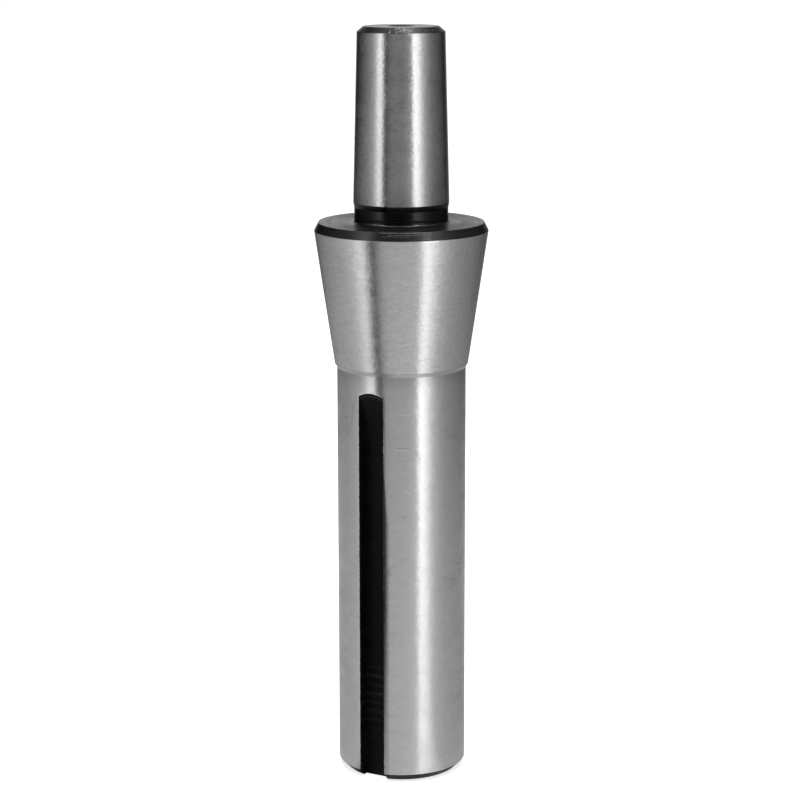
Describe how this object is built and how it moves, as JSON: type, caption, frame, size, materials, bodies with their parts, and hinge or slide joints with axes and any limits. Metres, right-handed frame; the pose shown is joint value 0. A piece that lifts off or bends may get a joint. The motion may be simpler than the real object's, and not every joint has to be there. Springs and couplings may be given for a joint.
{
  "type": "drill chuck arbor",
  "caption": "One-piece milling spindle arbor with a keyed straight shank, a conical seat with a flange, and a short taper nose that carries a drill chuck.",
  "frame": {"origin": "centre of the flat drawbar end, on the arbor's axis", "axes": "+Z along the arbor's axis, from the drawbar end to the nose; the keyway faces -Y"},
  "size_m": [0.0322, 0.0322, 0.1408],
  "materials": {
    "ground_steel": "ground bright on the shank, cone and nose, black oxide on the neck, flange face, bevels and keyway"
  },
  "bodies": {
    "root": {"arbor": "ground_steel"}
  },
  "joints": []
}
